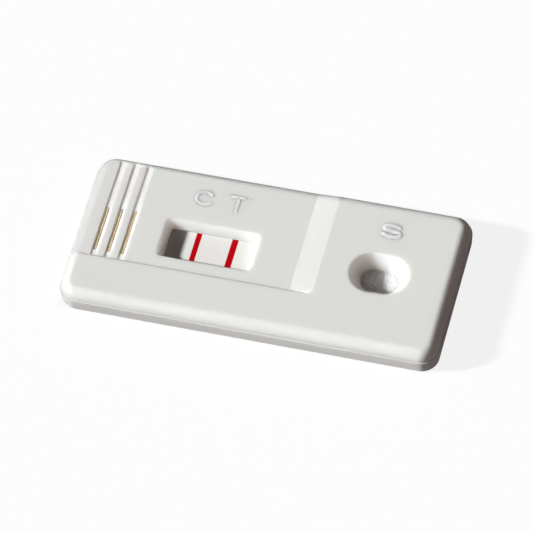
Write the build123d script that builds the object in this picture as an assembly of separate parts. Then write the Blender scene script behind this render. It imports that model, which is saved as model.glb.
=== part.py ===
from build123d import *
import os

# Lateral flow cassette: two snapped shells round a test strip. Millimetres.
# X runs from the finger grip to the sample well, Y from front to back, Z up from the table.

# Case outline
length = 70.0
width = 31.6
height = 5.1
corner_radius = 3.4
least_inner_corner = 0.3

# Joint line between the shells
parting_height = 3.0
rim_ledge = 0.16
rim_edge_radius = 0.12
shadow_gap_height = 0.12
shadow_gap_depth = 0.25
tongue_height = 0.4
tongue_thickness = 0.7
tongue_clearance = 0.1

# Walls of the shells
side_wall = 1.3
ceiling_thickness = 1.1
floor_thickness = 1.2
top_edge_radius = 2.0
side_draft = 0.23
base_edge_radius = 0.37

# Lowered field of the top shell, open at the grip end and at the back
recess_depth = 0.45
front_land = 9.34
land_edge_radius = 0.55
ramp_length = 4.25
ramp_corner_radius = 2.2
ramp_to_well = 5.2

# Finger grip: sawtooth grooves, each with a vent slot beside its wall
groove_count = 3
groove_pitch = 2.54
groove_margin = 3.93
groove_depth = 0.22
groove_wall_lean = 0.15
groove_run = 1.4
vent_length = 9.5
vent_width = 0.65
vent_offset = 0.23
vent_shift = -0.4
vent_end_radius = 0.2

# Reading window, with four walls that lean in to the strip
window_margin = 15.65
window_length = 17.4
window_width = 8.2
window_depth = 1.8
window_lean = 0.95
window_corner = 0.9
window_foot_corner = 0.4
window_frame_wall = 1.0
window_rim_radius = 0.25

# Sample well, a funnel with round ends
well_margin = 8.62
well_length = 10.9
well_width = 8.6
well_depth = 2.7
well_lean = 1.95
well_lip_wall = 0.9
well_rim_radius = 0.25

# Test strip
strip_width = 7.4
grip_end_space = 3.5
well_end_space = 5.5
card_thickness = 0.3
membrane_thickness = 0.15
membrane_under_absorbent = 1.6
conjugate_thickness = 0.4
conjugate_lap = 1.8
conjugate_to_frame = 0.5
sample_thickness = 0.5
sample_before_lip = 3.6
sample_lap = 2.0
lap_fall = 0.4
absorbent_width = 11.0
absorbent_thickness = 0.8
absorbent_to_frame = 1.3
swell_height = 0.97
swell_clearance = 0.08
bend_after_membrane = 0.6
bend_before_lip = 1.0

# Red lines across the membrane, placed from the middle of the window
control_line_width = 1.0
control_line_offset = -2.54
test_line_width = 1.17
test_line_offset = 4.15

# Inside fittings
press_gap = 0.05
strip_gap = 0.15
guide_wall = 0.8
pocket_height = 0.5
support_width = 1.0
support_pitch = 6.0
support_inset = 2.0
press_rib_width = 0.9
pin_diameter = 1.6
pin_clearance = 0.05
pin_end_inset = 8.0
pin_side_inset = 4.3
socket_wall = 0.9
socket_top_gap = 0.3
socket_floor = 0.2
pin_tip_gap = 0.2

# Levels and places that follow from the sizes above
recess_level = height - recess_depth
recess_front = -width / 2 + front_land
shell_low = parting_height + shadow_gap_height
top_wall_inset = rim_ledge + side_wall
tongue_inset = top_wall_inset + tongue_clearance
cavity_inset = tongue_inset + tongue_thickness
well_right = length / 2 - well_margin
well_x = well_right - well_length / 2
ramp_head = well_right - well_length - ramp_to_well
ramp_foot = ramp_head - ramp_length
window_left = -length / 2 + window_margin
window_x = window_left + window_length / 2
window_foot = recess_level - window_depth
well_foot = height - well_depth
frame_left = window_left + window_lean - window_frame_wall
frame_right = window_left + window_length - window_lean + window_frame_wall
lip_left = well_right - well_length + well_lean - well_lip_wall
strip_left = -length / 2 + grip_end_space
strip_right = length / 2 - well_end_space
conjugate_left = frame_right + conjugate_to_frame
membrane_right = conjugate_left + conjugate_lap
absorbent_right = frame_left - absorbent_to_frame
membrane_left = absorbent_right - membrane_under_absorbent
sample_left = lip_left - sample_before_lip
conjugate_right = sample_left + sample_lap
bed_high = window_foot - press_gap - membrane_thickness - card_thickness
bed_low = well_foot - press_gap - sample_thickness - card_thickness
bend_start = membrane_right + bend_after_membrane
bend_end = lip_left - bend_before_lip
card_top = bed_high + card_thickness
guide_inner = strip_width / 2 + strip_gap
reach = length + width


def outline(inset):
    """The case's plan outline, moved in by inset all round."""
    radius = max(corner_radius - inset, least_inner_corner)
    return RectangleRounded(length - 2 * inset, width - 2 * inset, radius)


def plate(inset, low, high):
    """A flat plate of the case's outline between two heights."""
    return Pos(0, 0, low) * extrude(outline(inset), high - low)


def block(left, right, front, back, low, high):
    """A plain block given by its six faces."""
    middle = ((left + right) / 2, (front + back) / 2, (low + high) / 2)
    return Pos(*middle) * Box(right - left, back - front, high - low)


def edge_lean(high):
    """How far the rounded edge of a level still leans out where it meets the joint."""
    below = max(top_edge_radius - (high - shell_low), 0)
    return top_edge_radius - (top_edge_radius ** 2 - below ** 2) ** 0.5


def dome(high):
    """The top shell's outside up to one level. Its rounded edge runs down to the joint."""
    body = plate(rim_ledge - edge_lean(high), shell_low - top_edge_radius, high)
    body = fillet(body.edges().group_by(Axis.Z)[-1], top_edge_radius)
    return body - block(-reach, reach, -reach, reach, -reach, shell_low)


def ramp_outside():
    """The ramp with its rounded back edge: the low field's section, drawn up to the well's level."""
    back = width / 2 - rim_ledge + edge_lean(recess_level)
    section = Pos(recess_front, recess_level) * Rectangle(
        back - recess_front, reach, align=(Align.MIN, Align.MAX))
    corner = section.vertices().sort_by(Axis.Y)[-2:].sort_by(Axis.X)[-1]
    section = Pos(ramp_foot) * (Plane.YZ * fillet(corner, top_edge_radius))
    rise = Vector(ramp_length, -edge_lean(recess_level), recess_depth)
    body = extrude(section, rise.length, dir=rise)
    return body - block(-reach, reach, -reach, reach, -reach, shell_low)


def beside_land():
    """All the space behind the front land and its rounded edge, up to the head of the ramp."""
    land = Pos(recess_front, height) * Rectangle(reach, reach, align=(Align.MAX, Align.MAX))
    land_corner = land.vertices().sort_by(Axis.X)[-2:].sort_by(Axis.Y)[-1]
    land = fillet(land_corner, land_edge_radius)
    space = Pos(recess_front - land_edge_radius, height) * Rectangle(
        reach, reach, align=(Align.MIN, Align.CENTER))
    plan = Pos(ramp_head, recess_front - land_edge_radius) * Rectangle(
        reach, reach, align=(Align.MAX, Align.MIN))
    plan_corner = plan.vertices().sort_by(Axis.X)[-2:].sort_by(Axis.Y)[0]
    plan = fillet(plan_corner, ramp_corner_radius)
    return extrude(Plane.YZ * (space - land), reach, both=True) & extrude(plan, reach)


def recess_region():
    """The space over the lowered field and its ramp."""
    roof = height + recess_depth
    side = make_face(Polyline(
        (-reach, recess_level), (ramp_foot, recess_level), (ramp_head, height),
        (ramp_head, roof), (-reach, roof), close=True))
    return extrude(Plane.XZ * side, reach, both=True) & beside_land()


def window_section(depth, grow=0.0):
    """The window's outline at a depth under its rim, grown outward by grow."""
    share = depth / window_depth
    lean = window_lean * share
    corner = window_corner + (window_foot_corner - window_corner) * share + grow
    outline_here = RectangleRounded(
        window_length - 2 * lean + 2 * grow, window_width - 2 * lean + 2 * grow, corner)
    return Pos(window_x, 0, recess_level - depth) * outline_here


def well_section(depth, grow=0.0):
    """The sample well's outline at a depth under its rim, grown outward by grow."""
    lean = well_lean * depth / well_depth
    outline_here = SlotOverall(
        well_length - 2 * lean + 2 * grow, well_width - 2 * lean + 2 * grow)
    return Pos(well_x, 0, height - depth) * outline_here


def window_frame():
    """The skirt that carries the window's walls down to the membrane."""
    return extrude(window_section(window_depth, window_frame_wall), window_depth - ceiling_thickness / 2)


def well_skirt():
    """The funnel's outer wall, from the ceiling down to the lip on the sample pad."""
    foot = well_section(well_depth, well_lip_wall)
    root = well_section(ceiling_thickness / 2, well_lip_wall)
    return loft([foot, root], ruled=True)


def opening(section, depth):
    """A tapered hole through the ceiling, run a little past its rim and its foot."""
    past = depth / 10
    return loft([section(depth + past), section(-past)], ruled=True)


def rim_edges(body, section):
    """The edges of a hole's rim in the outer face."""
    rim = section(0)
    box = rim.bounding_box()
    edges = body.edges().filter_by_position(Axis.Z, box.min.Z, box.max.Z)
    edges = edges.filter_by_position(Axis.X, box.min.X, box.max.X)
    return edges.filter_by_position(Axis.Y, box.min.Y, box.max.Y)


def groove(left):
    """One sawtooth groove: a leaning wall at its left and a ramp up to the right."""
    profile = make_face(Polyline(
        (left, recess_level), (left + groove_wall_lean, recess_level - groove_depth),
        (left + groove_run, recess_level), (left + groove_run, height), (left, height), close=True))
    length_y = width - front_land
    cutter = extrude(Plane.XZ * profile, length_y)
    return Pos(0, recess_front + length_y, 0) * cutter


def vent(left):
    """The through slot in a groove's ramp, just beside its wall."""
    slot = RectangleRounded(vent_width, vent_length, vent_end_radius)
    place = Pos(left + vent_offset + vent_width / 2, vent_shift, parting_height)
    return place * extrude(slot, height - parting_height)


def groove_places():
    """The left edges of the grip's grooves."""
    first = -length / 2 + groove_margin
    return [first + index * groove_pitch for index in range(groove_count)]


def pin_places():
    """Plan positions of the pins and their sockets: three along each long side."""
    ends = length / 2 - pin_end_inset
    side = width / 2 - pin_side_inset
    return [(x, y) for x in (-ends, 0, ends) for y in (-side, side)]


def pin(x, y):
    """A pin that hangs from the ceiling into its socket."""
    tip = floor_thickness + socket_floor + pin_tip_gap
    root = recess_level - ceiling_thickness / 2
    upright = (Align.CENTER, Align.CENTER, Align.MIN)
    return Pos(x, y, tip) * Cylinder(pin_diameter / 2, root - tip, align=upright)


def press_rib(x, pad_top):
    """A rib under the ceiling that holds a lap of the strip down."""
    half = press_rib_width / 2
    return block(x - half, x + half, -strip_width / 2, strip_width / 2,
                 pad_top + press_gap, recess_level - ceiling_thickness / 2)


def top_shell():
    """The upper moulding: recess, grip, window, sample well, skirts, ribs and pins."""
    recess = recess_region()
    low_field = dome(recess_level) - block(ramp_foot, reach, -reach, reach, 0, reach)
    body = dome(height) - beside_land() + low_field + ramp_outside()
    body += plate(rim_ledge + shadow_gap_depth, parting_height, parting_height + 2 * shadow_gap_height)
    under_ceiling = plate(top_wall_inset, parting_height, height - ceiling_thickness)
    body -= under_ceiling - Pos(0, 0, -ceiling_thickness) * recess
    body += window_frame() + well_skirt()
    body -= opening(window_section, window_depth) + opening(well_section, well_depth)
    for left in groove_places():
        body -= groove(left) + vent(left)
    conjugate_middle = membrane_right - conjugate_lap / 2
    body += press_rib(conjugate_middle, card_top + membrane_thickness + conjugate_thickness)
    sample_middle = sample_left + sample_lap / 2
    lapped = card_thickness + conjugate_thickness + sample_thickness
    body += press_rib(sample_middle, bed(sample_middle - press_rib_width / 2) + lapped)
    for x, y in pin_places():
        body += pin(x, y)
    body = fillet(rim_edges(body, window_section), window_rim_radius)
    return fillet(rim_edges(body, well_section), well_rim_radius)


def bed(x):
    """Height of the card's underside: level under the window, lower under the well."""
    if x <= bend_start:
        return bed_high
    if x >= bend_end:
        return bed_low
    return bed_high + (bed_low - bed_high) * (x - bend_start) / (bend_end - bend_start)


def lift_at(steps, x):
    """Height over the bed between two given steps."""
    for (x0, lift0), (x1, lift1) in zip(steps, steps[1:]):
        if x0 <= x <= x1:
            return lift0 + (lift1 - lift0) * (x - x0) / (x1 - x0)


def ribbon(steps, thickness, across):
    """A layer of the strip, with its underside through steps of x and height over the bed."""
    start, end = steps[0][0], steps[-1][0]
    bends = [(x, lift_at(steps, x)) for x in (bend_start, bend_end) if start < x < end]
    lower = [(x, bed(x) + lift) for x, lift in sorted(steps + bends)]
    upper = [(x, z + thickness) for x, z in reversed(lower)]
    profile = make_face(Polyline(*lower, *upper, close=True))
    return extrude(Plane.XZ * profile, across / 2, both=True)


def backing_card():
    """The card that carries the strip's layers."""
    return ribbon([(strip_left, 0), (strip_right, 0)], card_thickness, strip_width)


def line_zone(offset, line_width):
    """The space that one red line takes across the membrane."""
    x = window_x + offset
    return block(x - line_width / 2, x + line_width / 2, -strip_width, strip_width, 0, height)


def whole_membrane():
    """The membrane before its two lines are set apart."""
    steps = [(membrane_left, card_thickness), (membrane_right, card_thickness)]
    return ribbon(steps, membrane_thickness, strip_width)


def control_line():
    """The stained band of the membrane at the control position."""
    return whole_membrane() & line_zone(control_line_offset, control_line_width)


def test_line():
    """The stained band of the membrane at the test position."""
    return whole_membrane() & line_zone(test_line_offset, test_line_width)


def membrane():
    """The white membrane between and beside its two lines."""
    zones = line_zone(control_line_offset, control_line_width)
    zones += line_zone(test_line_offset, test_line_width)
    return whole_membrane() - zones


def conjugate_pad():
    """The reagent pad: one end laps the membrane, the other lies under the sample pad."""
    on_membrane = card_thickness + membrane_thickness
    steps = [(conjugate_left, on_membrane), (membrane_right, on_membrane),
             (membrane_right + lap_fall, card_thickness), (conjugate_right, card_thickness)]
    return ribbon(steps, conjugate_thickness, strip_width)


def sample_pad():
    """The pad under the well: its inner end laps the conjugate pad."""
    on_conjugate = card_thickness + conjugate_thickness
    steps = [(sample_left, on_conjugate), (conjugate_right, on_conjugate),
             (conjugate_right + 2 * lap_fall, card_thickness), (strip_right, card_thickness)]
    return ribbon(steps, sample_thickness, strip_width)


def absorbent_pad():
    """The broad pad under the grip. It laps the membrane's far end and swells up into the vent slots."""
    half = absorbent_width / 2
    top = card_top + absorbent_thickness
    body = block(strip_left, absorbent_right, -half, half, card_top, top)
    body -= block(membrane_left, absorbent_right, -half, half, card_top, card_top + membrane_thickness)
    swell_front = vent_shift - vent_length / 2 + swell_clearance
    swell_back = vent_shift + vent_length / 2 - swell_clearance
    for left in groove_places():
        slot_left = left + vent_offset
        body += block(slot_left + swell_clearance, slot_left + vent_width - swell_clearance,
                      swell_front, swell_back, card_top + membrane_thickness, top + swell_height)
    return body


def ring(left, right, half, wall, low, high):
    """An upright wall round a rectangle that is centred on the X axis."""
    outer = block(left - wall, right + wall, -half - wall, half + wall, low, high)
    return outer - block(left, right, -half, half, low, high)


def strip_channel():
    """Guide walls that keep the strip in line, up to the card's upper face."""
    return ring(strip_left - strip_gap, strip_right + strip_gap, guide_inner, guide_wall,
                floor_thickness / 2, card_top)


def absorbent_pocket():
    """The wall round the absorbent pad, open where the strip passes."""
    walls = ring(strip_left - strip_gap, absorbent_right + strip_gap, absorbent_width / 2 + strip_gap,
                 guide_wall, floor_thickness / 2, card_top + pocket_height)
    return walls - block(strip_left - strip_gap, strip_right, -guide_inner, guide_inner,
                         floor_thickness, height)


def strip_supports():
    """Cross ribs between the guide walls, each as high as the strip's underside."""
    count = 1 + int((strip_right - strip_left - 2 * support_inset) / support_pitch)
    ribs = Part()
    for index in range(count):
        left = strip_left + support_inset + index * support_pitch
        right = left + support_width
        ribs += block(left, right, -guide_inner - guide_wall / 2, guide_inner + guide_wall / 2,
                      floor_thickness / 2, bed(right))
    return ribs


def socket(x, y):
    """The boss on the floor that takes one pin."""
    foot = floor_thickness / 2
    radius = pin_diameter / 2 + pin_clearance
    upright = (Align.CENTER, Align.CENTER, Align.MIN)
    boss = Cylinder(radius + socket_wall, parting_height - socket_top_gap - foot, align=upright)
    bore = Cylinder(radius, height, align=upright)
    return Pos(x, y, foot) * boss - Pos(x, y, floor_thickness + socket_floor) * bore


def bottom_shell():
    """The lower moulding: tray, tongue, strip channel, pad pocket, supports and sockets."""
    rim_foot = parting_height - 2 * rim_edge_radius
    body = loft([outline(side_draft), Pos(0, 0, rim_foot) * outline(0)], ruled=True)
    body = fillet(body.edges().group_by(Axis.Z)[0], base_edge_radius)
    body += plate(0, rim_foot, parting_height)
    body = fillet(body.edges().group_by(Axis.Z)[-1], rim_edge_radius)
    body += plate(tongue_inset, parting_height, parting_height + tongue_height)
    body -= plate(cavity_inset, floor_thickness, height)
    body += strip_channel() + absorbent_pocket() + strip_supports()
    for x, y in pin_places():
        body += socket(x, y)
    return body


pieces = {
    "bottom_shell": bottom_shell,
    "top_shell": top_shell,
    "backing_card": backing_card,
    "membrane": membrane,
    "control_line": control_line,
    "test_line": test_line,
    "conjugate_pad": conjugate_pad,
    "sample_pad": sample_pad,
    "absorbent_pad": absorbent_pad,
}

os.makedirs("parts", exist_ok=True)
for name, make in pieces.items():
    export_step(make(), f"parts/{name}.step")
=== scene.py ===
# %% [markdown]
# # Dressing a lateral flow cassette
# The solids of the case and its strip come ready made, at their real size. This lesson gives them
# their looks: a camera and light like a product photograph's, a floor, one finish for each real
# material, the fibres of the pads, and the raised marks beside the window and the well.

# %% Load the solids
import math
import bpy
from mathutils import Matrix, Vector


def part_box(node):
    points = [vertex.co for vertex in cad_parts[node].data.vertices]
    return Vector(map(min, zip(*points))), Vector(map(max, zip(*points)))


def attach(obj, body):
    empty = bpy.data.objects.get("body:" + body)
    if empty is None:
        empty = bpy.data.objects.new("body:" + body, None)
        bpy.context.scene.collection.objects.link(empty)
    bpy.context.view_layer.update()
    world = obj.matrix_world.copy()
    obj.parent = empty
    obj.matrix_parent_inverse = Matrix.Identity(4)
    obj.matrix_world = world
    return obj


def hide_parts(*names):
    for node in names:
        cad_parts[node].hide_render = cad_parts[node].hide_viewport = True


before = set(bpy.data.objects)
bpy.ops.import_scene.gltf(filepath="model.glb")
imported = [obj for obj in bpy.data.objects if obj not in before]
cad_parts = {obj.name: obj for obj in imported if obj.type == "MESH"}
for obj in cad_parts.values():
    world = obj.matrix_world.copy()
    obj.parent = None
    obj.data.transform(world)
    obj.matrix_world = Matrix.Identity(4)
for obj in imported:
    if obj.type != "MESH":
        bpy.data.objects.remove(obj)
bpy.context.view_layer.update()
MM = 0.001
bpy.context.scene.view_settings.view_transform = "Standard"
print("solids:", sorted(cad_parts))

# %% [markdown]
# ## Camera
# The photograph looks down on the long front side from a long way off, a little from the well's end
# and slightly rolled. A long lens far away keeps the case's edges nearly parallel, so the camera is
# given by its angles, its distance and the point of the case that it aims at.

# %% Camera
CAMERA_AZIMUTH = 20.323
CAMERA_ELEVATION = 55.921
CAMERA_ROLL = -6.923
CAMERA_DISTANCE = 834.5 * MM
CAMERA_LENS_MM = 314.18
SENSOR_MM = 36.0
NEAR_CLIP = 0.05
FAR_CLIP = 20.0
AIM_HEIGHT = 2.5 * MM
AIM_RIGHT = 0.026 * MM
AIM_UP = -0.906 * MM


def new_object(name, data):
    """An object that holds this data, linked into the scene."""
    thing = bpy.data.objects.new(name, data)
    bpy.context.collection.objects.link(thing)
    return thing


def camera_axes(azimuth, elevation, roll):
    """Right, up and backward directions of a camera that looks at the case."""
    a, e, r = (math.radians(v) for v in (azimuth, elevation, roll))
    back = Vector((math.sin(a) * math.cos(e), -math.cos(a) * math.cos(e), math.sin(e)))
    level = Vector((math.cos(a), math.sin(a), 0))
    upright = back.cross(level)
    right = level * math.cos(r) + upright * math.sin(r)
    return right, back.cross(right), back


right, up, back = camera_axes(CAMERA_AZIMUTH, CAMERA_ELEVATION, CAMERA_ROLL)
lens = bpy.data.cameras.new("camera")
lens.lens = CAMERA_LENS_MM
lens.sensor_width = SENSOR_MM
lens.clip_start = NEAR_CLIP
lens.clip_end = FAR_CLIP
camera = new_object("camera", lens)
aim = Vector((0, 0, AIM_HEIGHT)) + right * AIM_RIGHT + up * AIM_UP
place = Matrix((right, up, back)).transposed().to_4x4()
place.translation = aim + back * CAMERA_DISTANCE
camera.matrix_world = place
bpy.context.scene.camera = camera
print("camera at, mm:", [round(v / MM, 1) for v in place.translation])

# %% [markdown]
# ## Helpers for finishes
# Colours are written as sRGB hex and turned to linear once. One helper adds a node with its settings
# and its links, so that each finish reads as a short list of what it is made of. Smaller helpers do
# what most finishes need: a sum, a mix of two tones, the scale of a noise.

# %% Helpers for finishes
def linear(hex_colour):
    """An sRGB hex colour as linear red, green, blue and alpha."""
    parts = [int(hex_colour[i:i + 2], 16) / 255 for i in (1, 3, 5)]
    return [c / 12.92 if c <= 0.04045 else ((c + 0.055) / 1.055) ** 2.4 for c in parts] + [1.0]


def add(tree, kind, settings=None, **inputs):
    """Adds a node. An input is a value, a socket or a node, whose first output is then linked.

    An input is named with underscores for spaces, or by its place, as in _0.
    """
    node = tree.nodes.new(kind)
    for name, value in (settings or {}).items():
        setattr(node, name, value)
    for name, value in inputs.items():
        socket = node.inputs[int(name[1:]) if name[0] == "_" else name.replace("_", " ")]
        if isinstance(value, bpy.types.Node):
            tree.links.new(value.outputs[0], socket)
        elif isinstance(value, bpy.types.NodeSocket):
            tree.links.new(value, socket)
        else:
            socket.default_value = value
    return node


def maths(tree, operation, *values):
    """A maths node with these values, sockets or nodes as its inputs."""
    inputs = {f"_{i}": value for i, value in enumerate(values)}
    return add(tree, "ShaderNodeMath", {"operation": operation}, **inputs)


def two_tones(tree, share, shade, colour):
    """The socket of a colour that goes from shade to colour as share goes from 0 to 1."""
    mix = add(tree, "ShaderNodeMix", {"data_type": "RGBA"}, Factor=share, _6=linear(shade),
              _7=linear(colour))
    return mix.outputs[2]


def new_finish(name):
    """An empty node material, and the Object coordinates to draw its patterns in."""
    finish = bpy.data.materials.new(name)
    finish.use_nodes = True
    tree = finish.node_tree
    tree.nodes.clear()
    coordinates = add(tree, "ShaderNodeTexCoord").outputs["Object"]
    return finish, tree, coordinates


def per_mm(size_mm):
    """The scale of a noise whose grain is size_mm across, on coordinates in metres."""
    return 1 / (size_mm * MM)


# %% [markdown]
# ## Light
# The photograph has one hard key light, low over the grip end and a little from the front, which
# leaves the window's floor beside its left wall in shade. A sun gives parallel light like that, and
# its angle sets how soft the edge of a shade is. A weak, wide light from the well's end opens the
# shade on the far side, and the world adds a little from all round. Both are a warm white, as light
# is that comes back from a room. A last light comes from below and meets only the underside, because
# the floor stops it. To the camera, in a reflection and through clear things the world looks white.

# %% Light
KEY_ELEVATION = 23.0
KEY_AZIMUTH = 197.0
KEY_SOFTNESS = 5.0
KEY_STRENGTH = 7.6
END_ELEVATION = 12.0
END_AZIMUTH = 5.0
END_SOFTNESS = 40.0
END_STRENGTH = 0.27
UNDER_ELEVATION = -55.0
UNDER_AZIMUTH = 215.0
UNDER_SOFTNESS = 40.0
UNDER_STRENGTH = 3.2
FILL_STRENGTH = 0.04
WARM_WHITE = "#FFE0DC"
WHITE = (1, 1, 1, 1)


def add_sun(name, azimuth, elevation, softness, strength, tint="#FFFFFF"):
    """A far light from one direction. Softness is the angle that its disc takes up."""
    lamp = bpy.data.lights.new(name, "SUN")
    lamp.energy = strength
    lamp.color = linear(tint)[:3]
    lamp.angle = math.radians(softness)
    a, e = math.radians(azimuth), math.radians(elevation)
    to_light = Vector((math.cos(a) * math.cos(e), math.sin(a) * math.cos(e), math.sin(e)))
    sun = new_object(name, lamp)
    sun.rotation_mode = "QUATERNION"
    sun.rotation_quaternion = to_light.to_track_quat("Z", "Y")
    print(name, "comes from", [round(v, 2) for v in to_light], "strength", strength)


def looked_at(tree):
    """1 for a ray from the camera, a reflection or through something clear, 0 for any other."""
    rays = add(tree, "ShaderNodeLightPath").outputs
    mirrored = maths(tree, "MAXIMUM", rays["Is Camera Ray"], rays["Is Glossy Ray"])
    return maths(tree, "MAXIMUM", mirrored, rays["Is Transmission Ray"])


add_sun("key_light", KEY_AZIMUTH, KEY_ELEVATION, KEY_SOFTNESS, KEY_STRENGTH)
add_sun("end_light", END_AZIMUTH, END_ELEVATION, END_SOFTNESS, END_STRENGTH, WARM_WHITE)
add_sun("under_light", UNDER_AZIMUTH, UNDER_ELEVATION, UNDER_SOFTNESS, UNDER_STRENGTH)

world = bpy.data.worlds.new("studio")
world.use_nodes = True
bpy.context.scene.world = world
sky = world.node_tree
sky.nodes.clear()
fill_light = add(sky, "ShaderNodeBackground", Color=linear(WARM_WHITE), Strength=FILL_STRENGTH)
seen_white = add(sky, "ShaderNodeBackground", Color=WHITE, Strength=1.0)
seen = add(sky, "ShaderNodeMixShader", _0=looked_at(sky), _1=fill_light, _2=seen_white)
add(sky, "ShaderNodeOutputWorld", Surface=seen)

# %% [markdown]
# ## Floor
# The case lies on a white sweep. The floor has to read as clean white and still keep the soft shade
# of the case, so what the camera sees is mostly an even white with a part of the real, shaded floor
# added to it. Light that bounces meets a plain grey paper, so that little of it comes back. From
# below the floor is clear, so that the underside can be looked at, and for that it lies a hair above
# the base.

# %% Floor
FLOOR_HALF = 1.5
FLOOR_LEVEL = 0.02 * MM
FLOOR_SHADE = 0.49
FLOOR_GLOW = 0.865
PAPER_GREY = "#868686"
BLACK = (0, 0, 0, 1)


def white_sweep():
    """Paper that looks white, is grey to light that bounces, and is clear from below."""
    finish, tree, _ = new_finish("white_sweep")
    paper = add(tree, "ShaderNodeBsdfDiffuse", Color=linear(PAPER_GREY))
    dark = add(tree, "ShaderNodeBsdfDiffuse", Color=BLACK)
    part = add(tree, "ShaderNodeMixShader", _0=FLOOR_SHADE, _1=dark, _2=paper)
    glow = add(tree, "ShaderNodeEmission", Color=WHITE, Strength=FLOOR_GLOW)
    shown = add(tree, "ShaderNodeAddShader", _0=part, _1=glow)
    upper = add(tree, "ShaderNodeMixShader", _0=looked_at(tree), _1=paper, _2=shown)
    clear = add(tree, "ShaderNodeBsdfTransparent")
    underneath = add(tree, "ShaderNodeNewGeometry").outputs["Backfacing"]
    one_sided = add(tree, "ShaderNodeMixShader", _0=underneath, _1=upper, _2=clear)
    add(tree, "ShaderNodeOutputMaterial", Surface=one_sided)
    return finish


def flat_sheet(name, corners, finish):
    """A sheet of one face with this finish."""
    mesh = bpy.data.meshes.new(name)
    mesh.from_pydata(corners, [], [(0, 1, 2, 3)])
    mesh.materials.append(finish)
    return new_object(name, mesh)


floor_signs = ((-1, -1), (1, -1), (1, 1), (-1, 1))
floor_corners = [(x * FLOOR_HALF, y * FLOOR_HALF, FLOOR_LEVEL) for x, y in floor_signs]
floor = flat_sheet("floor", floor_corners, white_sweep())
print("floor at z, mm:", round(FLOOR_LEVEL / MM, 3))

# %% [markdown]
# ## Net
# The key light is low, so it falls on the grip's end more than twice as strongly as on the top, and
# the end would lose its outline in the white ground. A photographer holds a fine net in front of such
# an edge. This one is a sheet that only dims light on its way to the end. It thins out towards its
# upper edge, so that the top keeps its light, and towards the front side. No ray of the camera meets
# it.

# %% Net
NET_X = -38.0
NET_FRONT = -17.8
NET_BACK = 14.0
NET_FOOT = 1.35
NET_TOP = 7.0
NET_FULL = 5.4
NET_FADE_POWER = 3.0
NET_SIDE_FADE = 1.5
NET_HOLDS_BACK = 0.5


def fine_black_net():
    """A net that holds back half of the light, and less near its upper and its front edge."""
    finish, tree, coordinates = new_finish("fine_black_net")
    where = add(tree, "ShaderNodeSeparateXYZ", Vector=coordinates).outputs
    above = add(tree, "ShaderNodeMapRange", Value=where["Z"], From_Min=NET_FULL * MM,
                From_Max=NET_TOP * MM)
    thinner = maths(tree, "POWER", above, NET_FADE_POWER)
    aside = add(tree, "ShaderNodeMapRange", Value=where["Y"], From_Min=NET_FRONT * MM,
                From_Max=(NET_FRONT + NET_SIDE_FADE) * MM, To_Min=1.0, To_Max=0.0)
    open_part = maths(tree, "MAXIMUM", thinner, aside)
    passed = maths(tree, "MULTIPLY_ADD", open_part, NET_HOLDS_BACK, 1 - NET_HOLDS_BACK)
    weave = add(tree, "ShaderNodeBsdfTransparent", Color=passed)
    add(tree, "ShaderNodeOutputMaterial", Surface=weave)
    return finish


net_outline = ((NET_FRONT, NET_FOOT), (NET_BACK, NET_FOOT), (NET_BACK, NET_TOP), (NET_FRONT, NET_TOP))
net_corners = [(NET_X * MM, y * MM, z * MM) for y, z in net_outline]
net = flat_sheet("end_net", net_corners, fine_black_net())
net.visible_camera = False
net.visible_diffuse = False
net.visible_glossy = False
net.visible_transmission = False
print("net from y", NET_FRONT, "to", NET_BACK, "and up to z", NET_TOP)

# %% [markdown]
# ## Finish: moulded polystyrene
# The shells are injection moulded high-impact polystyrene, filled with white pigment. Three things
# give it away: a matt surface from the spark-eroded mould, a very faint unevenness of tone, and light
# that spreads inside it, which warms narrow grooves and deep edges. It spreads a millimetre or two in
# the shells, and much further in the thin walls round the window and the well, which glow in their
# own shade. Each of the two has a box round it, given by its middle and half its size in mm.

# %% Moulded polystyrene
WINDOW_FUNNEL = ((-10.65, 0.0, 3.0), (8.9, 4.3, 1.6))
WELL_FUNNEL = ((21.0, 0.0, 3.0), (5.6, 4.5, 2.0))
FUNNEL_EDGE = (0.97, 1.03)
THIN_SPREAD = 6.5
PLASTIC_SCATTER = (1.0, 0.85, 0.74)
PLASTIC_IOR = 1.59
PLASTIC_SHEEN = 0.2
PLASTIC_ROUGHNESS = (0.66, 0.76)
PLASTIC_TONE_MM = 9.0
GRAIN_MM = 0.16
GRAIN_DEPTH_MM = 0.004
GRAIN_STRENGTH = 0.35


def funnel_reach(tree, coordinates, box):
    """How far out in a box a point lies: 0 in its middle, 1 on its faces and more outside."""
    middle, half = box
    offset = add(tree, "ShaderNodeVectorMath", {"operation": "SUBTRACT"}, _0=coordinates,
                 _1=tuple(v * MM for v in middle))
    share = add(tree, "ShaderNodeVectorMath", {"operation": "DIVIDE"}, _0=offset,
                _1=tuple(v * MM for v in half))
    size = add(tree, "ShaderNodeVectorMath", {"operation": "ABSOLUTE"}, _0=share)
    axes = add(tree, "ShaderNodeSeparateXYZ", Vector=size).outputs
    level = maths(tree, "MAXIMUM", axes["X"], axes["Y"])
    return maths(tree, "MAXIMUM", level, axes["Z"])


def wall_spread(tree, coordinates, usual_mm):
    """How far light spreads: further in the thin walls of the funnels than in the rest."""
    window_reach = funnel_reach(tree, coordinates, WINDOW_FUNNEL)
    well_reach = funnel_reach(tree, coordinates, WELL_FUNNEL)
    nearest = maths(tree, "MINIMUM", window_reach, well_reach)
    return add(tree, "ShaderNodeMapRange", Value=nearest, From_Min=FUNNEL_EDGE[0],
               From_Max=FUNNEL_EDGE[1], To_Min=THIN_SPREAD * MM, To_Max=usual_mm * MM)


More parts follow.
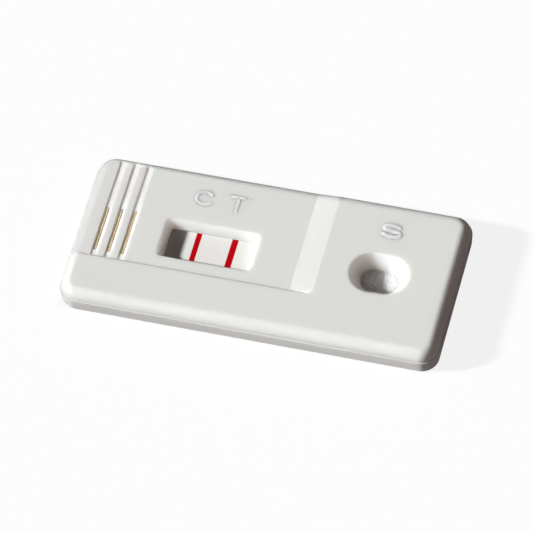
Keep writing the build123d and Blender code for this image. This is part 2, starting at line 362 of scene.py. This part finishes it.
def moulded_polystyrene(name, colour, shade, spread_mm):
    """Warm white satin plastic with a fine mould texture."""
    finish, tree, coordinates = new_finish(name)
    cloud = add(tree, "ShaderNodeTexNoise", Vector=coordinates, Scale=per_mm(PLASTIC_TONE_MM), Detail=2.0)
    grain = add(tree, "ShaderNodeTexNoise", Vector=coordinates, Scale=per_mm(GRAIN_MM), Detail=3.0)
    texture = add(tree, "ShaderNodeBump", Strength=GRAIN_STRENGTH, Distance=GRAIN_DEPTH_MM * MM,
                  Height=grain)
    satin = add(tree, "ShaderNodeMapRange", Value=grain, To_Min=PLASTIC_ROUGHNESS[0],
                To_Max=PLASTIC_ROUGHNESS[1])
    plastic = add(tree, "ShaderNodeBsdfPrincipled", {"subsurface_method": "BURLEY"},
                  Base_Color=two_tones(tree, cloud, shade, colour), Roughness=satin, IOR=PLASTIC_IOR,
                  Specular_IOR_Level=PLASTIC_SHEEN, Subsurface_Weight=1.0,
                  Subsurface_Radius=PLASTIC_SCATTER, Normal=texture,
                  Subsurface_Scale=wall_spread(tree, coordinates, spread_mm))
    add(tree, "ShaderNodeOutputMaterial", Surface=plastic)
    print("plastic:", name, "light spreads, mm:", spread_mm)
    return finish


top_finish = moulded_polystyrene("moulded_polystyrene_top", "#DADBD8", "#D7D8D6", 1.6)
mark_finish = moulded_polystyrene("moulded_polystyrene_marks", "#DADBD8", "#D7D8D6", 0.3)
base_finish = moulded_polystyrene("moulded_polystyrene_base", "#D7D5D3", "#D4D2D0", 1.1)

# %% [markdown]
# ## Finish: the strip
# The membrane is cast nitrocellulose, a matt film with fine pores. The lines are stained into it, so
# they keep its surface and only change its colour. The card is a smooth thin sheet.

# %% Membrane, stain and card
FILM_TONE_MM = 1.2
FILM_IOR = 1.5
FILM_SHEEN = 0.05
FILM_ROUGHNESS = 0.85
CARD_ROUGHNESS = 0.5
PORE_MM = 0.12
PORE_DEPTH_MM = 0.006
PORE_STRENGTH = 0.4


def cast_film(name, colour, shade, roughness=FILM_ROUGHNESS):
    """A film with fine pores and a slightly cloudy tone."""
    finish, tree, coordinates = new_finish(name)
    cloud = add(tree, "ShaderNodeTexNoise", Vector=coordinates, Scale=per_mm(FILM_TONE_MM), Detail=4.0)
    pores = add(tree, "ShaderNodeTexNoise", Vector=coordinates, Scale=per_mm(PORE_MM), Detail=2.0)
    relief = add(tree, "ShaderNodeBump", Strength=PORE_STRENGTH, Distance=PORE_DEPTH_MM * MM,
                 Height=pores)
    film = add(tree, "ShaderNodeBsdfPrincipled", Base_Color=two_tones(tree, cloud, shade, colour),
               Roughness=roughness, IOR=FILM_IOR, Specular_IOR_Level=FILM_SHEEN, Normal=relief)
    add(tree, "ShaderNodeOutputMaterial", Surface=film)
    print("film:", name, "roughness", roughness)
    return finish


membrane_finish = cast_film("cast_nitrocellulose", "#E1E1DD", "#DDDDD9")
stain_finish = cast_film("red_reagent_stain", "#B5000A", "#AC0008")
card_finish = cast_film("polystyrene_card", "#DCDCD9", "#D8D8D5", roughness=CARD_ROUGHNESS)

# %% [markdown]
# ## Smooth curves and crisp edges on the solids
# The solids come as loose triangles. On the real moulding the flats are dead flat, the roundings are
# smooth and a shallow ramp still starts at a crisp line. A tree of Geometry Nodes joins the triangles
# and groups the ones that lie in one plane. An edge stays sharp where it bends by more than a set
# angle, or where it bends at all between two large flats. No vertex is moved.

# %% Smooth the solids
SHARP_ANGLE = 34.0
FLAT_ANGLE = 0.7
LARGE_FLAT_MM2 = 0.9
NEARLY_WHOLE = 0.9
WELD_MM = 0.0005
INPUT_KINDS = {float: "NodeSocketFloat", int: "NodeSocketInt", type(None): "NodeSocketMaterial"}


def new_tree(name, **inputs):
    """A tree of Geometry Nodes, and the sockets that hand in its geometry and its named inputs.

    A number is an input's usual value, and None stands for a material.
    """
    tree = bpy.data.node_groups.new(name, "GeometryNodeTree")
    face = tree.interface
    face.new_socket("Geometry", in_out="INPUT", socket_type="NodeSocketGeometry")
    for label, value in inputs.items():
        socket = face.new_socket(label.replace("_", " "), in_out="INPUT",
                                 socket_type=INPUT_KINDS[type(value)])
        if value:
            socket.default_value = value
    face.new_socket("Geometry", in_out="OUTPUT", socket_type="NodeSocketGeometry")
    return tree, add(tree, "NodeGroupInput").outputs


def more_than(tree, value, limit):
    """True where a number is larger than a limit."""
    return add(tree, "FunctionNodeCompare", {"data_type": "FLOAT", "operation": "GREATER_THAN"},
               _0=value, _1=limit)


def read_on(tree, domain, kind, value):
    """A number or a vector as it is on the faces or on the points."""
    return add(tree, "GeometryNodeFieldOnDomain", {"data_type": kind, "domain": domain}, Value=value)


def smoothing_tree():
    """Joins loose triangles, shades them smooth and keeps sharp edges and flats."""
    tree, given = new_tree("smooth_solid", Sharp_Angle=math.radians(SHARP_ANGLE),
                           Flat_Angle=math.radians(FLAT_ANGLE), Large_Flat=LARGE_FLAT_MM2 * MM * MM)
    joined = add(tree, "GeometryNodeMergeByDistance", Geometry=given["Geometry"], Distance=WELD_MM * MM)
    smooth = add(tree, "GeometryNodeSetShadeSmooth", {"domain": "FACE"}, Geometry=joined)
    bend = add(tree, "GeometryNodeInputMeshEdgeAngle").outputs["Unsigned Angle"]
    bent = more_than(tree, bend, given["Flat Angle"])
    plane = add(tree, "GeometryNodeEdgesToFaceGroups", _0=bent)
    area = add(tree, "GeometryNodeInputMeshFaceArea")
    region = add(tree, "GeometryNodeAccumulateField", {"data_type": "FLOAT", "domain": "FACE"},
                 Value=area, Group_ID=plane)
    large = more_than(tree, region.outputs["Total"], given["Large Flat"])
    # An edge reads the mean of its two faces, which is 1 only where both are in large flats.
    share = read_on(tree, "FACE", "FLOAT", maths(tree, "MULTIPLY", large, 1.0))
    flat = more_than(tree, share, NEARLY_WHOLE)
    crease = add(tree, "FunctionNodeBooleanMath", {"operation": "AND"}, _0=bent, _1=flat)
    steep = more_than(tree, bend, given["Sharp Angle"])
    sharp = add(tree, "FunctionNodeBooleanMath", {"operation": "OR"}, _0=crease, _1=steep)
    crisp = add(tree, "GeometryNodeSetShadeSmooth", {"domain": "EDGE"}, Geometry=smooth,
                Selection=sharp, Shade_Smooth=False)
    # A rounding takes the normal of the flat beside it at the points where the two meet.
    normal = add(tree, "GeometryNodeInputNormal").outputs
    own = read_on(tree, "FACE", "FLOAT_VECTOR", normal["True Normal"])
    flat_part = add(tree, "ShaderNodeVectorMath", {"operation": "SCALE"}, _0=own, Scale=share)
    pinned = read_on(tree, "FACE", "FLOAT_VECTOR", flat_part)
    around = read_on(tree, "POINT", "FLOAT_VECTOR", pinned)
    beside = add(tree, "ShaderNodeVectorMath", {"operation": "NORMALIZE"}, _0=around)
    along = add(tree, "ShaderNodeVectorMath", {"operation": "DOT_PRODUCT"}, _0=beside, _1=own)
    tangent = more_than(tree, along.outputs["Value"], math.cos(math.radians(SHARP_ANGLE)))
    curved = add(tree, "GeometryNodeSwitch", {"input_type": "VECTOR"}, _0=tangent,
                 _1=normal["Normal"], _2=beside)
    chosen = add(tree, "GeometryNodeSwitch", {"input_type": "VECTOR"}, _0=flat, _1=curved, _2=own)
    shaded = add(tree, "GeometryNodeSetMeshNormal", {"mode": "TANGENT_SPACE"}, Mesh=crisp,
                 Custom_Normal=chosen)
    add(tree, "NodeGroupOutput", Geometry=shaded)
    return tree


smooth_tree = smoothing_tree()


def finish_solid(node, finish):
    """Gives a solid its material and its smooth shading."""
    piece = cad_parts[node]
    piece.data.materials.clear()
    piece.data.materials.append(finish)
    modifier = piece.modifiers.new("smooth_solid", "NODES")
    modifier.node_group = smooth_tree
    done = piece.evaluated_get(bpy.context.evaluated_depsgraph_get()).data
    sharp = done.attributes.get("sharp_edge")
    count = sum(v.value for v in sharp.data) if sharp else 0
    print(node, "triangles", len(done.polygons), "sharp edges", count, "of", len(done.edges))


solid_finishes = {
    "top_shell": top_finish,
    "bottom_shell": base_finish,
    "backing_card": card_finish,
    "membrane": membrane_finish,
    "control_line": stain_finish,
    "test_line": stain_finish,
}
for node, finish in solid_finishes.items():
    finish_solid(node, finish)
print("finished solids:", len(solid_finishes))

# %% [markdown]
# ## Raised marks
# Three marks stand less than a tenth of a millimetre proud of the top shell: C by the control line,
# T by the test line and S by the sample well. They name positions, as on any such test. They could be
# cut from a font's outline. In the mould, though, each is a shallow trough that a ball-ended engraving
# tool leaves along a drawn line, so a tree of Geometry Nodes sweeps a flattened circle along the lines
# of each mark, sunk so far that only its crown stands out, and lets it run out round at the line's
# ends.

# %% A tree that raises a ridge along a line
RIDGE_SIDES = 16
ROUND_END = 1.02


def ridge_tree():
    """Sweeps a flattened circle along lines and rounds it off at their ends. It works in metres."""
    tree, given = new_tree("raised_ridge", Half_Width=0.0, Half_Height=0.0, Step=0.0, Finish=None)
    level = add(tree, "GeometryNodeSetCurveNormal", {"mode": "Z_UP"}, Curve=given["Geometry"])
    even = add(tree, "GeometryNodeResampleCurve", {"mode": "LENGTH"}, Curve=level, Length=given["Step"])
    run = add(tree, "GeometryNodeSplineParameter").outputs["Length"]
    whole = add(tree, "GeometryNodeSplineLength").outputs["Length"]
    to_end = maths(tree, "MINIMUM", run, maths(tree, "SUBTRACT", whole, run))
    part = add(tree, "ShaderNodeMath", {"operation": "DIVIDE", "use_clamp": True}, _0=to_end,
               _1=given["Half Width"])
    short = maths(tree, "SUBTRACT", 1.0, part)
    # The circle's formula, with a little more than 1 so that the end keeps some width.
    left = maths(tree, "SUBTRACT", ROUND_END, maths(tree, "MULTIPLY", short, short))
    roundness = maths(tree, "SQRT", left)
    tapered = add(tree, "GeometryNodeSetCurveRadius", Curve=even, Radius=roundness)
    ring = add(tree, "GeometryNodeCurvePrimitiveCircle", Resolution=RIDGE_SIDES, Radius=1.0)
    shape = add(tree, "ShaderNodeCombineXYZ", X=given["Half Width"], Y=given["Half Height"], Z=1.0)
    section = add(tree, "GeometryNodeTransform", Geometry=ring, Scale=shape)
    swept = add(tree, "GeometryNodeCurveToMesh", Curve=tapered, Profile_Curve=section, Fill_Caps=True,
                Scale=roundness)
    smooth = add(tree, "GeometryNodeSetShadeSmooth", {"domain": "FACE"}, Geometry=swept)
    real = add(tree, "GeometryNodeRealizeInstances", Geometry=smooth)
    dressed = add(tree, "GeometryNodeSetMaterial", Geometry=real, Material=given["Finish"])
    add(tree, "NodeGroupOutput", Geometry=dressed)
    return tree


def set_inputs(modifier, **values):
    """Sets a tree's named inputs by their identifiers, before the object is evaluated."""
    for item in modifier.node_group.interface.items_tree:
        key = item.name.replace(" ", "_")
        if item.in_out == "INPUT" and key in values:
            modifier[item.identifier] = values[key]


def made_plain(maker, name):
    """The evaluated shape of an object as a plain mesh of its own. The maker is removed."""
    depsgraph = bpy.context.evaluated_depsgraph_get()
    mesh = bpy.data.meshes.new_from_object(maker.evaluated_get(depsgraph), depsgraph=depsgraph)
    bpy.data.objects.remove(maker)
    mesh.name = name
    return new_object(name, mesh)


ridges = ridge_tree()
print("ridge tree nodes:", len(ridges.nodes))

# %% [markdown]
# ## Drawing the marks
# The round marks are Bezier curves whose handles Blender sets by itself, so a few points give a fair
# line. The straight strokes of the T have vector handles. A small round pip by the T is left by a pin
# in the mould. The marks of the low field are shallower than the one by the well. All are given in
# mm, and a ridge by half the height of its full section and by how far it stands out.

# %% Marks
RIDGE_HALF_WIDTH = 0.44
SAMPLE_HALF_WIDTH = 0.54
PIP_HALF_WIDTH = 0.22
RIDGE_STEP = 0.07
LOW_RIDGE = (0.075, 0.032)
HIGH_RIDGE = (0.15, 0.068)
PIP_RIDGE = (0.16, 0.09)
CURVE_STEPS = 16
FIELD_DEPTH = 0.45
TOP_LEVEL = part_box("top_shell")[1][2] / MM
FIELD_LEVEL = TOP_LEVEL - FIELD_DEPTH
C_CENTRE = (-13.75, 9.68)
C_RADII = (1.58, 1.32)
C_OPENING = 25.0
C_POINTS = 9
S_LINE = [(22.8, 10.1), (21.3, 10.58), (19.65, 10.0), (21.2, 9.44), (22.75, 8.82), (21.15, 8.18),
          (19.3, 8.8)]
T_BAR = [(-9.5, 11.1), (-6.2, 11.1)]
T_STEM = [(-7.6, 11.0), (-7.6, 7.6)]
PIP_LINE = [(-5.78, 11.08), (-5.4, 11.08)]


def open_ellipse(centre, radii, opening, count):
    """Points round an ellipse that is open on its right side by the angle opening each way."""
    steps = [math.radians(opening + (360 - 2 * opening) * i / (count - 1)) for i in range(count)]
    return [(centre[0] + radii[0] * math.cos(a), centre[1] + radii[1] * math.sin(a)) for a in steps]


def raised_mark(name, lines, level, ridge, handles, half_width=RIDGE_HALF_WIDTH):
    """A mark whose lines stand on the surface at level."""
    half_height, height = ridge
    drawn = bpy.data.curves.new(name + "_lines", "CURVE")
    drawn.dimensions = "3D"
    drawn.resolution_u = CURVE_STEPS
    for points in lines:
        line = drawn.splines.new("BEZIER")
        line.bezier_points.add(len(points) - 1)
        for spot, (x, y) in zip(line.bezier_points, points):
            spot.co = (x * MM, y * MM, (level + height - half_height) * MM)
            spot.handle_left_type = handles
            spot.handle_right_type = handles
    maker = new_object(name + "_maker", drawn)
    modifier = maker.modifiers.new("raised_ridge", "NODES")
    modifier.node_group = ridges
    set_inputs(modifier, Half_Width=half_width * MM, Half_Height=half_height * MM,
               Step=RIDGE_STEP * MM, Finish=mark_finish)
    piece = made_plain(maker, name)
    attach(piece, "root")
    top = max(v.co.z for v in piece.data.vertices) / MM
    print(name, "faces", len(piece.data.polygons), "stands out, mm:", round(top - level, 3))


c_line = open_ellipse(C_CENTRE, C_RADII, C_OPENING, C_POINTS)
raised_mark("control_mark", [c_line], FIELD_LEVEL, LOW_RIDGE, "AUTO")
raised_mark("test_mark", [T_BAR, T_STEM], FIELD_LEVEL, LOW_RIDGE, "VECTOR")
raised_mark("sample_mark", [S_LINE], TOP_LEVEL, HIGH_RIDGE, "AUTO", SAMPLE_HALF_WIDTH)
raised_mark("pin_pip", [PIP_LINE], FIELD_LEVEL, PIP_RIDGE, "VECTOR", PIP_HALF_WIDTH)

# %% [markdown]
# ## Pads
# Three pads touch the card: a white sample pad under the well, a dusty pink glass fibre pad that holds
# the dried reagent, and a tan pad of pressed pulp that drinks what is left and shows in the vent
# slots. All three are mats of loose fibres. A noise in the colour alone would look printed, so each
# pad is rebuilt: its solid is filled with small voxels, its skin is drawn in a little and made uneven,
# and short bent fibres are scattered over it. They are 0.02 to 0.03 mm thick, as fibres of pulp are.

# %% A tree that makes a mat of fibres
VOLUME_BAND = 0.4
SKIN_THRESHOLD = 0.08
UNEVENNESS = 0.05
FACING_UP = 0.5
FIBRE_STEPS = 4
FIBRE_SIDES = 4
FIBRE_HANDLES = ((0.3, 0.22, 0.0), (-0.3, 0.12, 0.0))
SHORTEST_FIBRE = 0.5


def uneven_skin(tree, given):
    """The solid's skin, rebuilt from voxels, drawn in unevenly and lifted towards its crown."""
    large = add(tree, "GeometryNodeTransform", Geometry=given["Geometry"], Scale=(1 / MM,) * 3)
    filled = add(tree, "GeometryNodeMeshToVolume", {"resolution_mode": "VOXEL_SIZE"}, Mesh=large,
                 Density=1.0, Voxel_Size=given["Voxel"], Interior_Band_Width=VOLUME_BAND)
    skin = add(tree, "GeometryNodeVolumeToMesh", {"resolution_mode": "VOXEL_SIZE"}, Volume=filled,
               Voxel_Size=given["Voxel"], Threshold=SKIN_THRESHOLD)
    where = add(tree, "GeometryNodeInputPosition")
    per_lump = maths(tree, "DIVIDE", 1.0, given["Lump Size"])
    lumps = add(tree, "ShaderNodeTexNoise", Vector=where, Scale=per_lump, Detail=2.0)
    sunk = maths(tree, "MULTIPLY_ADD", lumps, given["Unevenness"], given["Draw In"])
    outwards = add(tree, "GeometryNodeInputNormal").outputs["Normal"]
    shift = add(tree, "ShaderNodeVectorMath", {"operation": "SCALE"}, _0=outwards,
                Scale=maths(tree, "MULTIPLY", sunk, -1.0))
    uneven = add(tree, "GeometryNodeSetPosition", Geometry=skin, Offset=shift)
    height = add(tree, "ShaderNodeSeparateXYZ", Vector=where).outputs["Z"]
    rise = add(tree, "ShaderNodeMapRange", Value=height, From_Min=given["Crown From"],
               From_Max=given["Crown To"], To_Min=0.0, To_Max=given["Crown"])
    lift = add(tree, "ShaderNodeCombineXYZ", Z=rise)
    crowned = add(tree, "GeometryNodeSetPosition", Geometry=uneven, Offset=lift)
    return add(tree, "GeometryNodeSetShadeSmooth", {"domain": "FACE"}, Geometry=crowned)


def loose_fibres(tree, given, skin):
    """Short bent fibres of many lengths, turned all ways and pressed onto the skin's upper side."""
    outwards = add(tree, "GeometryNodeInputNormal").outputs["Normal"]
    upward = add(tree, "ShaderNodeSeparateXYZ", Vector=outwards).outputs["Z"]
    spots = add(tree, "GeometryNodeDistributePointsOnFaces", Mesh=skin,
                Selection=more_than(tree, upward, FACING_UP), Density=given["Fibres per mm2"],
                Seed=given["Seed"])
    line = add(tree, "GeometryNodeCurvePrimitiveBezierSegment", {"mode": "OFFSET"},
               Resolution=FIBRE_STEPS, Start=(-0.5, 0.0, 0.0), Start_Handle=FIBRE_HANDLES[0],
               End_Handle=FIBRE_HANDLES[1], End=(0.5, 0.0, 0.0))
    turn = add(tree, "FunctionNodeRandomValue", {"data_type": "FLOAT"}, _2=0.0, _3=math.tau,
               Seed=given["Seed"])
    spin = add(tree, "FunctionNodeAxisAngleToRotation", Axis=(0.0, 0.0, 1.0), Angle=turn.outputs[1])
    laid = add(tree, "FunctionNodeRotateRotation", {"rotation_space": "LOCAL"},
               Rotation=spots.outputs["Rotation"], Rotate_By=spin)
    share = add(tree, "FunctionNodeRandomValue", {"data_type": "FLOAT"}, _2=SHORTEST_FIBRE, _3=1.0,
                Seed=given["Seed"])
    length = maths(tree, "MULTIPLY", share.outputs[1], given["Fibre Length"])
    scattered = add(tree, "GeometryNodeInstanceOnPoints", Points=spots, Instance=line, Rotation=laid,
                    Scale=length)
    lines = add(tree, "GeometryNodeRealizeInstances", Geometry=scattered)
    nearest = add(tree, "GeometryNodeProximity", {"target_element": "FACES"}, _0=skin)
    pressed = add(tree, "GeometryNodeSetPosition", Geometry=lines, Position=nearest)
    section = add(tree, "GeometryNodeCurvePrimitiveCircle", Resolution=FIBRE_SIDES,
                  Radius=given["Fibre Radius"])
    fibres = add(tree, "GeometryNodeCurveToMesh", Curve=pressed, Profile_Curve=section, Fill_Caps=True)
    return add(tree, "GeometryNodeSetShadeSmooth", {"domain": "FACE"}, Geometry=fibres)


def mat_tree():
    """Rebuilds a solid as an uneven mat and scatters short bent fibres on it. It works in mm."""
    tree, given = new_tree("fibre_mat", Voxel=0.1, Draw_In=0.0, Unevenness=UNEVENNESS, Lump_Size=1.0,
                           Fibres_per_mm2=0.0, Fibre_Length=1.0, Fibre_Radius=0.01, Crown=0.0,
                           Crown_From=0.0, Crown_To=1.0, Seed=0, Finish=None)
    skin = uneven_skin(tree, given)
    fibres = loose_fibres(tree, given, skin)
    mat = add(tree, "GeometryNodeJoinGeometry")
    tree.links.new(fibres.outputs[0], mat.inputs[0])
    tree.links.new(skin.outputs[0], mat.inputs[0])
    real_size = add(tree, "GeometryNodeTransform", Geometry=mat, Scale=(MM,) * 3)
    real = add(tree, "GeometryNodeRealizeInstances", Geometry=real_size)
    dressed = add(tree, "GeometryNodeSetMaterial", Geometry=real, Material=given["Finish"])
    add(tree, "NodeGroupOutput", Geometry=dressed)
    return tree


mats = mat_tree()
print("mat tree nodes:", len(mats.nodes))

# %% [markdown]
# ## Finish: fibre mats
# Light goes into a mat of fibres, and far into the white one, so that a shade on it has a wide soft
# edge. Two sizes of noise do the rest: clumps of fibres give the tone, and single fibres, stretched
# along no direction in particular, give the relief.

# %% Fibre finish
MOTTLE = (0.36, 0.64)
FELT_MM = 0.2
FELT_DEPTH_MM = 0.03
FELT_STRENGTH = 0.6
FIBRE_ROUGHNESS = 0.9
FIBRE_IOR = 1.5
FIBRE_SHEEN = 0.1
FIBRE_SCATTER = (1.0, 0.9, 0.85)


def pressed_fibre(name, colour, shade, clump_mm, spread_mm):
    """A mat of fibres with clumps of tone, a felted relief and light that spreads inside."""
    finish, tree, coordinates = new_finish(name)
    clumps = add(tree, "ShaderNodeTexNoise", Vector=coordinates, Scale=per_mm(clump_mm), Detail=4.0,
                 Roughness=0.65, Distortion=0.6)
    mottle = add(tree, "ShaderNodeMapRange", Value=clumps, From_Min=MOTTLE[0], From_Max=MOTTLE[1])
    felt = add(tree, "ShaderNodeTexNoise", Vector=coordinates, Scale=per_mm(FELT_MM), Detail=3.0,
               Distortion=1.5)
    relief = add(tree, "ShaderNodeBump", Strength=FELT_STRENGTH, Distance=FELT_DEPTH_MM * MM,
                 Height=felt)
    fibre = add(tree, "ShaderNodeBsdfPrincipled", {"subsurface_method": "BURLEY"},
                Base_Color=two_tones(tree, mottle, shade, colour), Roughness=FIBRE_ROUGHNESS,
                IOR=FIBRE_IOR, Specular_IOR_Level=FIBRE_SHEEN, Subsurface_Weight=1.0,
                Subsurface_Radius=FIBRE_SCATTER, Subsurface_Scale=spread_mm * MM, Normal=relief)
    add(tree, "ShaderNodeOutputMaterial", Surface=fibre)
    print("fibre mat:", name, "light spreads, mm:", spread_mm)
    return finish


sample_finish = pressed_fibre("cellulose_fibre_mat", "#EEECED", "#C3BFC2", 0.35, 4.0)
conjugate_finish = pressed_fibre("glass_fibre_mat", "#D8B3AB", "#B98D85", 0.5, 0.6)
absorbent_finish = pressed_fibre("pressed_pulp", "#DCCBA2", "#CDB98D", 0.7, 0.5)

# %% [markdown]
# ## Laying the pads
# Each pad has its own grain, number of fibres and seed, so that no two look alike. The tan pad is
# squeezed by the shell and swells into the vent slots. Its crown lifts these swells, most of all at
# their tops. All its other points keep their place. Lengths are in mm.

# %% Pads
def fibre_pad(node, finish, **sizes):
    """Replaces a pad's solid by a mat of fibres of the same form. Its sizes are the tree's inputs."""
    maker = new_object(node + "_maker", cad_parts[node].data.copy())
    joined = maker.modifiers.new("joined", "WELD")
    joined.merge_threshold = WELD_MM * MM
    modifier = maker.modifiers.new("fibre_mat", "NODES")
    modifier.node_group = mats
    set_inputs(modifier, Finish=finish, **sizes)
    piece = made_plain(maker, node + "_mat")
    low, high = (Vector(v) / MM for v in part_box(node))
    spots = [v.co / MM for v in piece.data.vertices]
    past = [max(max(p[i] for p in spots) - high[i], low[i] - min(p[i] for p in spots)) for i in range(3)]
    print(piece.name, "faces", len(piece.data.polygons), "past its solid, mm:", [round(v, 3) for v in past])
    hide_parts(node)
    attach(piece, "root")


fibre_pad("sample_pad", sample_finish, Voxel=0.11, Draw_In=0.02, Lump_Size=0.6,
          Fibres_per_mm2=14.0, Fibre_Length=1.1, Fibre_Radius=0.016, Seed=11)
fibre_pad("conjugate_pad", conjugate_finish, Voxel=0.12, Draw_In=0.06, Lump_Size=0.5,
          Fibres_per_mm2=10.0, Fibre_Length=1.2, Fibre_Radius=0.012, Seed=12)
fibre_pad("absorbent_pad", absorbent_finish, Voxel=0.08, Draw_In=0.02, Lump_Size=0.7,
          Fibres_per_mm2=6.0, Fibre_Length=1.3, Fibre_Radius=0.010, Seed=13,
          Crown=0.12, Crown_From=3.6, Crown_To=4.4)
